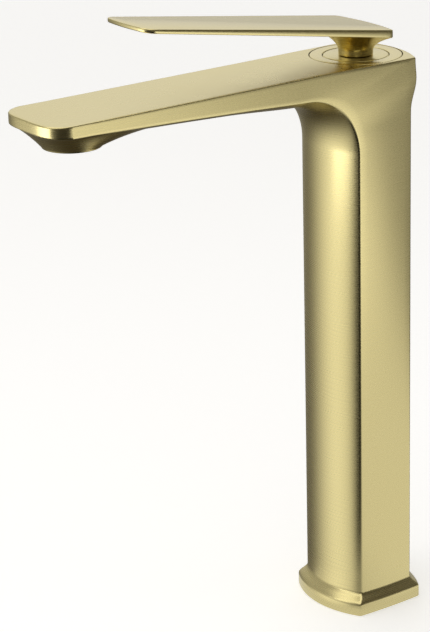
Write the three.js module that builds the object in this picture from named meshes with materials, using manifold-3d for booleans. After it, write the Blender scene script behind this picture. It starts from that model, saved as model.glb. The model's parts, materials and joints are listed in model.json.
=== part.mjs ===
// Tall single-lever basin mixer: a hollow cast column with a flat spout, a 25 mm ceramic disc cartridge
// under a round cap ring, and a flat lever plate on a short round stem.
// Millimetres, +Z up. The origin is the centre of the base's underside, on the column's axis.
// The spout points along -Y, and the lever lies over it.
import * as THREE from "three";
import { mergeVertices } from "three/addons/utils/BufferGeometryUtils.js";
import Module from "manifold-3d";

const wasm = await Module();
wasm.setup();

// ---- Driving dimensions ----------------------------------------------------------------------
const GAP = 0.3; // clearance between neighbouring pieces
const ROUND = 40; // sides of a large round piece
const SMALL = 16; // sides of a small round piece

// Column, base and head
const TOP = 270; // height of the flat top of the head
const COLUMN_HALF = 21.5; // half width of the column at its side faces
const COLUMN_BOW = 6.0; // how far the front and back faces bulge past the corner edges
const SIDE_BOW = 0.6; // bulge of each side face
const COLUMN_WALL = 3.1; // wall round the hollow below the cartridge's seat
const FRONT_WALL = 2.5; // wall in front of the riser
const FLARE = 3.2; // how far the base and its rim stand out from the column
const RIM_HEIGHT = 5.3;
const FLARE_HEIGHT = 5.6;
const HEAD_BACK_RIM = 0.8; // metal left behind the cap ring
const HEAD_RIM = 1.4; // metal left outside the cap ring at the sides
const HEAD_BULGE = 0.9; // extra depth of the head below its top edge
const HEAD_FLARE_HEIGHT = 25; // height over which the column widens into the head

// Spout
const REACH = 153.4; // column axis to outlet axis
const SPOUT_HALF = 22.1; // half width of the spout
const TIP_LENGTH = 22.6; // outlet axis to the front of the spout
const TIP_SPREAD = 0.6; // how much wider than the spout the rounded end's outline starts
const TOP_FALL = 0.95; // how much lower the top is at the tip than at the head
const TIP_EDGE = 5.1; // height of the vertical band round the tip
const ROOT_EDGE = 11.2; // height of the side of the spout where the fillet ends
const FILLET = 29.5; // radius of the side edge between column and spout
const SIDE_CROWN = 0.45; // rise of the side's lower edge at mid length
const UNDER_BOW = 4.9; // bulge of the spout's underside
const OUTLET_RADIUS = 13.2;
const OUTLET_DROP = 15.85; // head top to the outlet's lip
const OUTLET_WALL = 1.2; // wall round the aerator's socket
const BOSS_RUN = 40; // length over which the outlet boss fades into the spout behind it

// Lever and stem
const LEVER_RISE = 14.6; // head top to the plate's top, on the column axis
const LEVER_TILT = THREE.MathUtils.degToRad(8.3);
const LEVER_LENGTH = 126; // column axis to the lever's tip
const LEVER_BACK = 8.8; // column axis to the lever's back edge
const LEVER_BACK_HALF = 21;
const LEVER_TIP_HALF = 17;
const LEVER_THICK = 3.65; // at the back edge
const LEVER_TIP_THICK = 1.9;
const STEM_RADIUS = 8;
const STEM_FLARE = 13; // how far the stem widens to meet the plate
const STEM_SPREAD = 0.1; // share by which the flare is wider to the sides
const STEM_COLLAR = 1.7; // straight part of the stem above the ball cap
const STEM_SINK = 0.5; // how far the flare runs into the plate
const SPIGOT_WALL = 0.63; // metal at the corners of the spindle's socket
const SPIGOT_LENGTH = 4.2;
const SOCKET_ROOF = 1.45; // metal between the spindle and the plate's top
const SET_SCREW = { r: 2.4, z: 4.2, start: 0.1 }; // z above the head, start off the spindle's flat
const PLUG_DEPTH = 1.2; // cover plug over the set screw
const PLUG_GAP = 0.2;

// Cap ring and ball cap
const CAP_WALL = 1.78; // wall of the cap ring where the ball cap is widest
const CAP_HEIGHT = 11.1;
const CAP_OPENING = 15.4;
const O_RING = { depth: 5, height: 1.8, groove: 1.1, slack: 0.2 }; // in the cap ring's outside
const BALL_SHELL = 1.8; // wall of the ball cap
const BALL_ROOF = 2.2; // thickness of the ball cap's top
const BALL_SKIRT = 2.5; // lowest edge of the ball cap above the cap ring's underside
const RETAINER = { width: 2, thick: 1.2, slack: 0.2 };
const PIVOT_DEPTH = 12; // head top to the lever's pivot
const SEAM_CHAMFER = 0.35;
const LIFT = THREE.MathUtils.degToRad(22); // how far the lever lifts

// Cartridge, its seat and its nut
const CARTRIDGE_RADIUS = 12.5;
const CASING_WALL = 1.2;
const CASING_LIP = 1.5; // the casing's shoulder over the rotor's flange
const SEAT_BLOCK = 19.7; // thickness of the metal under the seat
const NUT_THREAD = 1.5; // how much wider than the cartridge the nut is
const NUT_RING = 3; // wall of the nut's thread
const NUT_HEIGHT = 7.7;
const NUT_THREAD_HEIGHT = 4.6;
const NECK_WALL = 2.2; // casing's neck
const NECK_RISE = 5.5; // casing's neck above its shoulder
const LIMIT_RING = { height: 2, slack: 0.1 };
const ARM = 12; // pivot to the centre of the spindle's ball end
const ARM_RADIUS = 1.85;
const BALL_END = 2.6;
const SPINDLE_SIDE = 7;
const SPINDLE_FOOT = 5.5; // square part of the spindle below the pivot
const PIN_RADIUS = 1.5;
const PIN_SLACK = 0.1;
const PIN_INSET = 0.9; // pin's end inside the rotor's neck
const ROTOR_RISE = 3.4; // rotor's neck above the pivot
const ROTOR_END_WALLS = { front: 1.7, back: 2.9 }; // metal at the ends of the rotor's slot
const RAIL = { half: 6.6, slack: 0.5 }; // rotor rails beside the disc carrier
const SEAT_GAP = 0.6; // under the cartridge's base, taken up by the port seals
const BASE_HEIGHT = 4.6;
const BASE_FLANGE = 1.7;
const BASE_SLACK = 0.1;
const SEAL_SPACE = 1.3; // between the base and the fixed disc
const SEAL_SLACK = 0.2;
const FIXED_DISC = 4;
const SLIDING_DISC = 3.1;
const SLIDING_MARGIN = 3; // how much smaller in radius the sliding disc is
const DISC_OFFSET = 2.3; // sliding disc off the axis when shut
const DISC_POCKET = { r: 4.2, y: -1.6, depth: 1.6 };
const CARRIER = { half: 6.3, front: 4.2, slack: 0.72, floor: 1.2, height: 6.7, headroom: 0.8 };
const FLANGE = 0.6; // rotor's flange under the casing's shoulder
const INLET = { x: 5, y: 4, r: 2.2 };
const OUTLET = { x: 0, y: -6, r: 2.6 };
const PORT_SEAL = { width: 1.4, height: 1.6, pocket: 1.6, slack: 0.1, squeeze: 0.4 };
const LOCATOR = { x: 9, y: -4, r: 1.2, length: 2.2 };
const HOSE_SOCKET = { x: 8, y: 4, r: 4.6, depth: 10 };

// Water way
const DUCT_HALF = 7; // half width of the riser in front of the cartridge
const DUCT_DEPTH = 3.6;
const DUCT_WALL = 2.2; // metal between the cartridge bore and the riser
const CHANNEL_HALF = 13;
const CHANNEL_HEIGHT = 4.5;
const CHANNEL_ROOF = 3.2; // metal over the channel
const GALLERY = { depth: 3.7, height: 7 }; // cross passage under the seat
const BEND = { depth: 3, height: 4, reach: 9.5, width: 5 }; // passage forward under the cap ring
const DROP_RADIUS = 8; // passage from the channel down to the aerator

// Aerator
const AERATOR_HEIGHT = 7;
const AERATOR_WALL = 1.6;
const AERATOR_LIP = { width: 1, height: 1.4, chamfer: 0.4 };
const AERATOR_NOTCH = { half: 1.2, depth: 1.3, height: 0.9, count: 4 };
const AERATOR_GRID = { pitch: 2.9, cell: 2.1, thick: 3 };
const REGULATOR = { thick: 1.5, hole: 1, ring: 5.4, count: 8 };
const AERATOR_SEAL = { space: 2.1, width: 2.4, slack: 0.15 };

// Mounting plate, its screws and the base gasket
const PLATE_THICK = 8;
const PLATE_MARGIN = 1.6; // plate edge inside the column's outer face
const HOSE_HOLE = { x: 7.4, r: 5.6 };
const STUD = { r: 3, edge: 5 };
const PLATE_SCREW = { r: 1.6, head: 3.4, headHeight: 2.7, length: 16.7, edge: 3.5, inset: 4.1 };
const HEX_SOCKET = { r: 1.4, depth: 2 };
const LUG = { r: 4, height: 13.7 };
const GASKET = { margin: 1.5, width: 2, thick: 1.9, groove: 2.2 };

// ---- Worked-out sizes ---------------------------------------------------------------------------
const boreRadius = CARTRIDGE_RADIUS + GAP;
const riserFrontY = -(boreRadius + DUCT_WALL + DUCT_DEPTH);
const columnCorner = FRONT_WALL - riserFrontY - COLUMN_BOW; // half depth at the four corner edges
const socketSphere = Math.hypot(CAP_OPENING, PIVOT_DEPTH);
const ballSphere = socketSphere - GAP;
const capRadius = socketSphere + CAP_WALL;
const recessRadius = capRadius + GAP;
const headHalf = recessRadius + HEAD_RIM;
const headCorner = recessRadius + HEAD_BACK_RIM - COLUMN_BOW;
const outletY = -REACH;
const tipY = -(REACH + TIP_LENGTH);
const outletZ = TOP - OUTLET_DROP;
const pivotZ = TOP - PIVOT_DEPTH;
const capBottomZ = TOP - CAP_HEIGHT;
const ballRoofZ = TOP - BALL_ROOF;

// Cartridge, worked out upwards from its seat
const carrierBottomZ = pivotZ - ARM - BALL_END - GAP - CARRIER.floor;
const slidingTopZ = carrierBottomZ - GAP;
const fixedTopZ = slidingTopZ - SLIDING_DISC - GAP;
const fixedBottomZ = fixedTopZ - FIXED_DISC;
const baseTopZ = fixedBottomZ - SEAL_SPACE;
const baseBottomZ = baseTopZ - BASE_HEIGHT;
const seatZ = baseBottomZ - SEAT_GAP;
const blockZ = seatZ - SEAT_BLOCK; // underside of the seat block, the top of the column's hollow
const carrierTopZ = carrierBottomZ + CARRIER.height;
const flangeBottomZ = carrierTopZ + CARRIER.headroom;
const shoulderZ = flangeBottomZ + FLANGE; // where the clamp nut bears on the casing
const nutBottomZ = shoulderZ + GAP;
const neckTopZ = shoulderZ + NECK_RISE;
const rotorTopZ = pivotZ + ROTOR_RISE;
const spindleTopZ = TOP + LEVER_RISE - LEVER_THICK - SOCKET_ROOF;
const casingInner = CARTRIDGE_RADIUS - CASING_WALL;
const discRadius = casingInner - GAP;
const carrierBack = Math.sqrt((casingInner - CARRIER.slack) ** 2 - CARRIER.half ** 2);
const nutRadius = CARTRIDGE_RADIUS + NUT_THREAD;
const neckOuter = nutRadius - NUT_RING;
const neckRadius = neckOuter - NECK_WALL - GAP;
const socketHalf = SPINDLE_SIDE / 2 + GAP;
const spigotRadius = socketHalf * Math.SQRT2 + SPIGOT_WALL;

// Foot
const plateScrewX = COLUMN_HALF - PLATE_MARGIN - PLATE_SCREW.head - PLATE_SCREW.edge;
const plateScrewY = columnCorner - PLATE_SCREW.inset;
const studY = columnCorner + COLUMN_BOW - PLATE_MARGIN - STUD.edge - STUD.r;
const grooveOuter = GASKET.margin - FLARE; // insets from the column's face, so negative is outside it
const grooveInner = grooveOuter + GASKET.width + 2 * GAP;

// Aerator
const aeratorSocket = OUTLET_RADIUS - OUTLET_WALL;
const aeratorRadius = aeratorSocket - GAP;
const aeratorBottomZ = outletZ + GAP;
const aeratorTopZ = aeratorBottomZ + AERATOR_HEIGHT;
const aeratorSocketTopZ = aeratorTopZ + AERATOR_SEAL.space;
const insertRadius = aeratorRadius - AERATOR_WALL - GAP;
const insertBottomZ = aeratorBottomZ + AERATOR_LIP.height + GAP;
const regulatorBottomZ = insertBottomZ + AERATOR_GRID.thick + GAP;

// ---- Small helpers ----------------------------------------------------------------------------
const colours = {
  gold: { color: 0xb9a765, metalness: 1, roughness: 0.32 },
  brass: { color: 0xb08d3e, metalness: 1, roughness: 0.4 },
  steel: { color: 0xb9bbbd, metalness: 1, roughness: 0.35 },
  ceramic: { color: 0xf1efe8, metalness: 0, roughness: 0.25 },
  whitePlastic: { color: 0xe9e9e4, metalness: 0, roughness: 0.5 },
  greyPlastic: { color: 0x8d9196, metalness: 0, roughness: 0.5 },
  rubber: { color: 0x1d1d1d, metalness: 0, roughness: 0.8 },
};
const materials = Object.fromEntries(
  Object.entries(colours).map(([name, look]) => [name, new THREE.MeshStandardMaterial({ name, ...look })]),
);

function solid(geometry) {
  const bare = geometry.clone();
  bare.deleteAttribute("normal");
  bare.deleteAttribute("uv");
  const merged = mergeVertices(bare, 1e-4);
  return new wasm.Manifold(
    new wasm.Mesh({
      numProp: 3,
      vertProperties: new Float32Array(merged.attributes.position.array),
      triVerts: new Uint32Array(merged.index.array),
    }),
  );
}

function geometryOf(manifold) {
  const mesh = manifold.getMesh();
  const geometry = new THREE.BufferGeometry();
  geometry.setAttribute("position", new THREE.BufferAttribute(mesh.vertProperties, 3));
  geometry.setIndex(new THREE.BufferAttribute(mesh.triVerts, 1));
  geometry.computeVertexNormals();
  return geometry;
}

// A solid of revolution about +Z from [radius, z] points, anticlockwise with radius to the right.
function turned(profile, sides = ROUND) {
  const points = profile.map(([r, z]) => new THREE.Vector2(r, z));
  points.push(points[0].clone());
  return new THREE.LatheGeometry(points, sides).rotateX(Math.PI / 2);
}

// A tube or disc between two heights; an inner radius of 0 makes it solid.
function ring(inner, outer, z0, z1, sides = ROUND) {
  return turned([[inner, z0], [outer, z0], [outer, z1], [inner, z1]], sides);
}

function disc(radius, x, y, z0, z1, sides = SMALL) {
  return ring(0, radius, z0, z1, sides).translate(x, y, 0);
}

function block(x0, x1, y0, y1, z0, z1) {
  const box = new THREE.BoxGeometry(x1 - x0, y1 - y0, z1 - z0);
  return box.translate((x0 + x1) / 2, (y0 + y1) / 2, (z0 + z1) / 2);
}

// A round bar along X, centred on x = 0 at height z.
function crossBar(radius, length, z) {
  return new THREE.CylinderGeometry(radius, radius, length, SMALL).rotateZ(Math.PI / 2).translate(0, 0, z);
}

// A round or hexagonal bar along Y between two places at height z.
function lengthBar(radius, y0, y1, z, sides = SMALL) {
  return new THREE.CylinderGeometry(radius, radius, y1 - y0, sides).translate(0, (y0 + y1) / 2, z);
}

function prism(points, z0, z1) {
  const shape = new THREE.Shape(points.map(([x, y]) => new THREE.Vector2(x, y)));
  return new THREE.ExtrudeGeometry(shape, { depth: z1 - z0, bevelEnabled: false }).translate(0, 0, z0);
}

const join = (first, ...rest) => rest.reduce((sum, g) => sum.add(solid(g)), first);
const cut = (first, ...rest) => rest.reduce((left, g) => left.subtract(solid(g)), first);

// A closed skin through equal loops of points, with a fan over each end.
function skin(loops) {
  const count = loops[0].length;
  const positions = [];
  const indices = [];
  loops.forEach((loop) => loop.forEach((p) => positions.push(...p)));
  for (let i = 0; i + 1 < loops.length; i++)
    for (let j = 0; j < count; j++) {
      const a = i * count + j;
      const b = i * count + ((j + 1) % count);
      indices.push(a, b, b + count, a, b + count, a + count);
    }
  [0, loops.length - 1].forEach((i) => {
    const middle = [0, 1, 2].map((k) => loops[i].reduce((sum, p) => sum + p[k], 0) / count);
    const hub = positions.push(...middle) / 3 - 1;
    for (let j = 0; j < count; j++) {
      const pair = [i * count + j, i * count + ((j + 1) % count)];
      indices.push(hub, ...(i === 0 ? pair.reverse() : pair));
    }
  });
  const geometry = new THREE.BufferGeometry();
  geometry.setAttribute("position", new THREE.Float32BufferAttribute(positions, 3));
  geometry.setIndex(indices);
  return geometry;
}

const smooth = (t) => {
  const c = Math.min(1, Math.max(0, t));
  return c * c * (3 - 2 * c);
};
const mix = (a, b, t) => a + (b - a) * t;

// Height at x of a circular arc that spans -half to half and rises by bow at its middle.
function arcHeight(x, half, bow) {
  if (bow < 1e-6) return 0;
  const radius = (half * half + bow * bow) / (2 * bow);
  return Math.sqrt(radius * radius - x * x) - (radius - bow);
}

// ---- Column section, used for the column, its hollow, the plate and the gasket ----------------
// The outline at an inward offset from the column's outer face: bowed front and back, flatter sides.
function sectionOutline(inset, steps = 10) {
  const half = COLUMN_HALF - inset;
  const corner = columnCorner - inset;
  const points = [];
  for (let i = 0; i <= steps; i++) {
    const x = mix(-half, half, i / steps);
    points.push([x, -(corner + arcHeight(x, half, COLUMN_BOW))]);
  }
  return [...points, ...points.map(([x, y]) => [-x, -y])];
}

// ---- Outer skin of the body ------------------------------------------------------------------
// Each station pairs a lower edge point (column front, fillet, then the spout's underside) with an
// upper edge point (column back, then the flat top). Normals say which way the faces bow.
function flareAt(z) {
  if (z <= RIM_HEIGHT) return FLARE;
  return FLARE * (1 - smooth((z - RIM_HEIGHT) / FLARE_HEIGHT));
}

function columnStation(z) {
  const out = flareAt(z);
  const half = COLUMN_HALF + out;
  const corner = columnCorner + out;
  const bow = COLUMN_BOW + out * 0.4;
  return {
    low: { y: -corner, z, half, bow, normal: [-1, 0] },
    high: { y: corner, z, half, bow, normal: [1, 0] },
    sideBow: SIDE_BOW,
  };
}

const filletCentre = { y: -columnCorner - FILLET, z: TOP - ROOT_EDGE - FILLET };
const topAt = (y) => TOP - TOP_FALL * Math.max(0, (-y - recessRadius) / (-tipY - recessRadius));

function lowerEdge(y) {
  const t = (y - filletCentre.y) / (tipY - filletCentre.y);
  const tipZ = topAt(tipY) - TIP_EDGE;
  return mix(TOP - ROOT_EDGE, tipZ, t) + SIDE_CROWN * 4 * t * (1 - t);
}

// Upper edge behind the fillet: up the flaring back of the head, then forward along the top.
function upperEdge(t) {
  const climb = 0.45;
  if (t <= climb) {
    const z = mix(filletCentre.z, TOP, t / climb);
    const climbed = (z - (TOP - HEAD_FLARE_HEIGHT)) / HEAD_FLARE_HEIGHT;
    const grow = smooth(climbed / 0.7);
    const swell = HEAD_BULGE * Math.sin(Math.PI * smooth(climbed));
    const y = mix(columnCorner, headCorner, grow) + swell;
    const half = mix(COLUMN_HALF, headHalf, grow);
    return { y, z, half, bow: COLUMN_BOW, normal: [1, 0] };
  }
  const along = (t - climb) / (1 - climb);
  const y = mix(headCorner, filletCentre.y, along);
  const half = mix(headHalf, SPOUT_HALF, smooth(along));
  return { y, z: topAt(y), half, bow: COLUMN_BOW * (1 - along), normal: [1, 0] };
}

function filletStation(t) {
  const angle = (t * Math.PI) / 2;
  const normal = [-Math.cos(angle), -Math.sin(angle)];
  const low = {
    y: filletCentre.y + FILLET * Math.cos(angle),
    z: filletCentre.z + FILLET * Math.sin(angle),
    half: mix(COLUMN_HALF, SPOUT_HALF, smooth(t)),
    bow: COLUMN_BOW,
    normal,
  };
  return { low, high: upperEdge(t), sideBow: SIDE_BOW * (1 - smooth(t)) };
}

// Bow of the underside: the column's own, fading to nothing inside the outlet boss.
function underBow(y) {
  const full = mix(COLUMN_BOW, UNDER_BOW, smooth((filletCentre.y - y) / 40));
  return full * smooth((REACH + 5 + y) / 18);
}

function spoutStation(y) {
  return {
    low: { y, z: lowerEdge(y), half: SPOUT_HALF, bow: underBow(y), normal: [0, -1] },
    high: { y, z: topAt(y), half: SPOUT_HALF, bow: 0, normal: [0, 1] },
    sideBow: 0,
  };
}

function stationLoop({ low, high, sideBow }, across = 12, up = 4) {
  const edge = (side, x) => {
    const lift = arcHeight(x, side.half, side.bow);
    return [x, side.y + side.normal[0] * lift, side.z + side.normal[1] * lift];
  };
  const loop = [];
  for (let i = 0; i <= across; i++) loop.push(edge(low, mix(-low.half, low.half, i / across)));
  for (let i = 1; i < up; i++) {
    const t = i / up;
    const x = mix(low.half, high.half, t) + sideBow * 4 * t * (1 - t);
    loop.push([x, mix(low.y, high.y, t), mix(low.z, high.z, t)]);
  }
  for (let i = 0; i <= across; i++) loop.push(edge(high, mix(high.half, -high.half, i / across)));
  for (let i = 1; i < up; i++) {
    const t = 1 - i / up;
    const x = mix(low.half, high.half, t) + sideBow * 4 * t * (1 - t);
    loop.push([-x, mix(low.y, high.y, t), mix(low.z, high.z, t)]);
  }
  return loop;
}

// Plan of the tip: a fourth-power superellipse round the outlet axis that trims the spout's end.
function tipReach(angle, half, front) {
  const c = Math.abs(Math.cos(angle));
  const s = Math.abs(Math.sin(angle));
  return ((c / half) ** 4 + (s / front) ** 4) ** -0.25;
}

function tipPlan() {
  const points = [[-60, 60]];
  const steps = 30;
  for (let i = 0; i <= steps; i++) {
    const angle = Math.PI + (Math.PI * i) / steps;
    const reach = tipReach(angle, SPOUT_HALF + TIP_SPREAD, TIP_LENGTH);
    points.push([reach * Math.cos(angle), outletY + reach * Math.sin(angle)]);
  }
  return [...points, [60, 60]];
}

// Flared boss that carries the outlet, from the tip's band down to the round lip.
function outletBoss() {
  const rings = [];
  const inset = 0.15;
  for (let i = 0; i <= 8; i++) {
    const s = i / 8;
    const rise = 1 - (1 - s) ** 1.3;
    const loop = [];
    for (let j = 0; j < ROUND; j++) {
      const angle = (-2 * Math.PI * j) / ROUND;
      const behind = Math.sin(angle) > 0;
      const reach = behind
        ? 1 / Math.hypot(Math.cos(angle) / (SPOUT_HALF - inset), Math.sin(angle) / BOSS_RUN)
        : tipReach(angle, SPOUT_HALF - inset, TIP_LENGTH - inset);
      const r = mix(OUTLET_RADIUS, reach, s);
      const x = r * Math.cos(angle);
      const y = outletY + r * Math.sin(angle);
      const under = lowerEdge(y) - arcHeight(x, SPOUT_HALF, underBow(y));
      loop.push([x, y, mix(outletZ, under + 0.2, rise)]);
    }
    rings.push(loop);
  }
  rings.push(rings.at(-1).map(([x, y, z]) => [x, y, z + 1]));
  return skin(rings.map((loop) => loop.reverse()));
}

function bodySkin() {
  const stations = [0, RIM_HEIGHT];
  for (let i = 1; i <= 6; i++) stations.push(RIM_HEIGHT + (FLARE_HEIGHT * i) / 6);
  const hollowTop = [blockZ, filletCentre.z];
  const loops = [...stations, ...hollowTop].map((z) => stationLoop(columnStation(z)));
  for (let i = 1; i <= 20; i++) loops.push(stationLoop(filletStation(i / 20)));
  const spoutEnd = tipY - 6;
  for (let i = 1; i <= 16; i++) loops.push(stationLoop(spoutStation(mix(filletCentre.y, spoutEnd, i / 16))));
  return solid(skin(loops)).intersect(solid(prism(tipPlan(), -10, TOP + 10)));
}

// ---- Body: the one casting of base, column, head and spout --------------------------------------
function body() {
  let shell = join(bodySkin(), outletBoss());
  shell = cut(shell, prism(sectionOutline(PLATE_MARGIN - GAP), -1, PLATE_THICK + GAP));
  shell = cut(shell, prism(sectionOutline(COLUMN_WALL), 1, blockZ));
  [-1, 1].forEach((side) => {
    const x = side * plateScrewX;
    const y = side * plateScrewY;
    shell = join(shell, disc(LUG.r, x, y, PLATE_THICK + GAP, PLATE_THICK + LUG.height));
    shell = cut(shell, disc(PLATE_SCREW.r + GAP, x, y, 1, PLATE_SCREW.length + 1));
  });
  const groove = cut(
    solid(prism(sectionOutline(grooveOuter), -1, GASKET.groove)),
    prism(sectionOutline(grooveInner), -2, GASKET.groove + 1),
  );
  return cut(
    shell.subtract(groove),
    ring(0, recessRadius, capBottomZ - GAP, TOP + 5),
    ring(0, nutRadius + GAP, nutBottomZ - GAP, TOP),
    ring(0, boreRadius, seatZ, TOP),
    ...waterWay(),
    disc(aeratorSocket, 0, outletY, outletZ - 5, aeratorSocketTopZ, ROUND),
  );
}

// Ports in the seat, the two threaded hose sockets below it, and the way up into the spout.
function waterWay() {
  const galleryTop = seatZ - GALLERY.depth;
  const galleryBottom = galleryTop - GALLERY.height;
  const socketTop = blockZ + HOSE_SOCKET.depth;
  const riserBackY = riserFrontY + DUCT_DEPTH;
  const bendTop = capBottomZ - GAP - BEND.depth;
  const bendBottom = bendTop - BEND.height;
  const outerY = -(recessRadius + BEND.reach);
  const outerBackY = outerY + BEND.width;
  const channelTop = topAt(outletY) - CHANNEL_ROOF;
  const inlets = [-1, 1].flatMap((side) => [
    disc(INLET.r, side * INLET.x, INLET.y, socketTop - 1, seatZ + 1),
    disc(HOSE_SOCKET.r, side * HOSE_SOCKET.x, HOSE_SOCKET.y, blockZ - 1, socketTop),
    disc(LOCATOR.r + GAP, side * LOCATOR.x, LOCATOR.y, seatZ - LOCATOR.length - GAP, seatZ + 1),
  ]);
  return [
    ...inlets,
    disc(OUTLET.r, OUTLET.x, OUTLET.y, galleryTop - 1, seatZ + 1),
    block(-DUCT_HALF, DUCT_HALF, riserFrontY, OUTLET.y + OUTLET.r, galleryBottom, galleryTop),
    block(-DUCT_HALF, DUCT_HALF, riserFrontY, riserBackY, galleryBottom, bendTop),
    block(-DUCT_HALF, DUCT_HALF, outerY, riserBackY, bendBottom, bendTop),
    block(-DUCT_HALF, DUCT_HALF, outerY, outerBackY, bendBottom, channelTop),
    block(-CHANNEL_HALF, CHANNEL_HALF, outletY, outerBackY, channelTop - CHANNEL_HEIGHT, channelTop),
    disc(DROP_RADIUS, 0, outletY, aeratorSocketTopZ - 1, channelTop - 1),
  ];
}

// ---- Base pieces --------------------------------------------------------------------------------
function mountingPlate() {
  const cuts = [-1, 1].flatMap((side) => {
    const x = side * plateScrewX;
    const y = side * plateScrewY;
    return [
      disc(HOSE_HOLE.r, side * HOSE_HOLE.x, 0, -1, PLATE_THICK + 1, ROUND),
      disc(STUD.r, 0, side * studY, -1, PLATE_THICK + 1),
      disc(PLATE_SCREW.r + GAP, x, y, -1, PLATE_THICK + 1),
      disc(PLATE_SCREW.head + GAP, x, y, -1, PLATE_SCREW.headHeight + 2 * GAP),
    ];
  });
  return cut(solid(prism(sectionOutline(PLATE_MARGIN), 0, PLATE_THICK)), ...cuts);
}

function plateScrew(side) {
  const { r, head, headHeight, length } = PLATE_SCREW;
  const profile = [
    [0, GAP],
    [head, GAP],
    [head, headHeight],
    [r, headHeight + GAP / 2],
    [r, length],
    [0, length],
  ];
  const hexSocket = disc(HEX_SOCKET.r, 0, 0, -1, HEX_SOCKET.depth, 6);
  return cut(solid(turned(profile, SMALL)), hexSocket).translate([side * plateScrewX, side * plateScrewY, 0]);
}

function baseGasket() {
  const band = solid(prism(sectionOutline(grooveOuter + GAP), GAP, GASKET.thick));
  return cut(band, prism(sectionOutline(grooveInner - GAP), -1, GASKET.thick + 1));
}

// ---- Cap ring, its O-ring and the ball cap ------------------------------------------------------
function spherePoints(radius, zFrom, zTo, steps = 5) {
  const points = [];
  for (let i = 0; i <= steps; i++) {
    const z = mix(zFrom, zTo, i / steps);
    points.push([Math.sqrt(radius * radius - (z - pivotZ) ** 2), z]);
  }
  return points;
}

function capRing() {
  const top = TOP - O_RING.depth + O_RING.height / 2 + O_RING.slack;
  const bottom = TOP - O_RING.depth - O_RING.height / 2 - O_RING.slack;
  return turned([
    ...spherePoints(socketSphere, TOP - SEAM_CHAMFER, capBottomZ),
    [capRadius, capBottomZ],
    [capRadius, bottom],
    [capRadius - O_RING.groove, bottom],
    [capRadius - O_RING.groove, top],
    [capRadius, top],
    [capRadius, TOP - SEAM_CHAMFER],
    [capRadius - SEAM_CHAMFER, TOP],
    [CAP_OPENING + SEAM_CHAMFER, TOP],
  ]);
}

function capRingORing() {
  const middle = TOP - O_RING.depth;
  const inner = capRadius - O_RING.groove + 0.1;
  const outer = recessRadius - 0.08;
  return ring(inner, outer, middle - O_RING.height / 2, middle + O_RING.height / 2);
}

// A shell of a sphere about the pivot, closed on top but for the hole that the lever's spigot fills.
function ballCap() {
  const skirt = capBottomZ + BALL_SKIRT;
  const rim = Math.sqrt(ballSphere ** 2 - PIVOT_DEPTH ** 2);
  const profile = [
    [spigotRadius + GAP, ballRoofZ],
    ...spherePoints(ballSphere - BALL_SHELL, ballRoofZ, skirt),
    ...spherePoints(ballSphere, skirt, TOP - SEAM_CHAMFER),
    [rim - SEAM_CHAMFER, TOP],
    [spigotRadius + GAP, TOP],
  ];
  // The skirt is deep at the front, where lifting uncovers it, and short at the back.
  const slant = block(-40, 40, -60, 60, -40, 0).rotateX(LIFT * 0.4).translate(0, -ballSphere, skirt + 0.4);
  return cut(solid(turned(profile)), slant);
}

function ballCapRetainer() {
  const top = ballRoofZ - GAP;
  const inner = spigotRadius + RETAINER.slack;
  return ring(inner, inner + RETAINER.width, top - RETAINER.thick, top);
}

// ---- Cartridge ----------------------------------------------------------------------------------
const ports = [
  { ...INLET, name: "inlet_seal_left", x: -INLET.x },
  { ...INLET, name: "inlet_seal_right" },
  { ...OUTLET, name: "outlet_seal" },
];

function portSeal({ x, y, r }) {
  const bottom = baseBottomZ - PORT_SEAL.squeeze;
  const inner = r + PORT_SEAL.slack;
  return ring(inner, r + PORT_SEAL.width, bottom, bottom + PORT_SEAL.height, SMALL).translate(x, y, 0);
}

function cartridgeBase() {
  const radius = CARTRIDGE_RADIUS - BASE_SLACK;
  const profile = [
    [0, baseBottomZ],
    [radius, baseBottomZ],
    [radius, baseBottomZ + BASE_FLANGE],
    [discRadius, baseBottomZ + BASE_FLANGE],
    [discRadius, baseTopZ],
    [0, baseTopZ],
  ];
  const locators = [-1, 1].map((side) =>
    disc(LOCATOR.r, side * LOCATOR.x, LOCATOR.y, seatZ - LOCATOR.length, baseBottomZ + 1),
  );
  const holes = ports.flatMap(({ x, y, r }) => [
    disc(r, x, y, baseBottomZ - 1, baseTopZ + 1),
    disc(r + PORT_SEAL.width + GAP, x, y, baseBottomZ - 1, baseBottomZ + PORT_SEAL.pocket),
  ]);
  return cut(join(solid(turned(profile)), ...locators), ...holes);
}

function discSeal() {
  const bottom = baseTopZ + SEAL_SLACK;
  const top = fixedBottomZ - SEAL_SLACK;
  const holes = ports.map(({ x, y, r }) => disc(r + 0.4, x, y, bottom - 1, top + 1));
  return cut(solid(ring(0, discRadius, bottom, top)), ...holes);
}

function fixedDisc() {
  const holes = ports.map(({ x, y, r }) => disc(r, x, y, fixedBottomZ - 1, fixedTopZ + 1));
  return cut(solid(ring(0, discRadius, fixedBottomZ, fixedTopZ)), ...holes);
}

// The sliding disc has a blind pocket underneath that bridges inlets and outlet when it slides forward.
function slidingDisc() {
  const bottom = fixedTopZ + GAP;
  const plain = disc(discRadius - SLIDING_MARGIN, 0, DISC_OFFSET, bottom, slidingTopZ, ROUND);
  const pocketY = DISC_OFFSET + DISC_POCKET.y;
  return cut(solid(plain), disc(DISC_POCKET.r, 0, pocketY, bottom - 1, bottom + DISC_POCKET.depth));
}

function discCarrier() {
  const { half, front } = CARRIER;
  const room = BALL_END + GAP;
  const plain = solid(block(-half, half, -front, carrierBack, carrierBottomZ, carrierTopZ));
  return cut(plain, block(-room, room, -room, room, carrierBottomZ + CARRIER.floor, carrierTopZ + 1));
}

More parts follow.
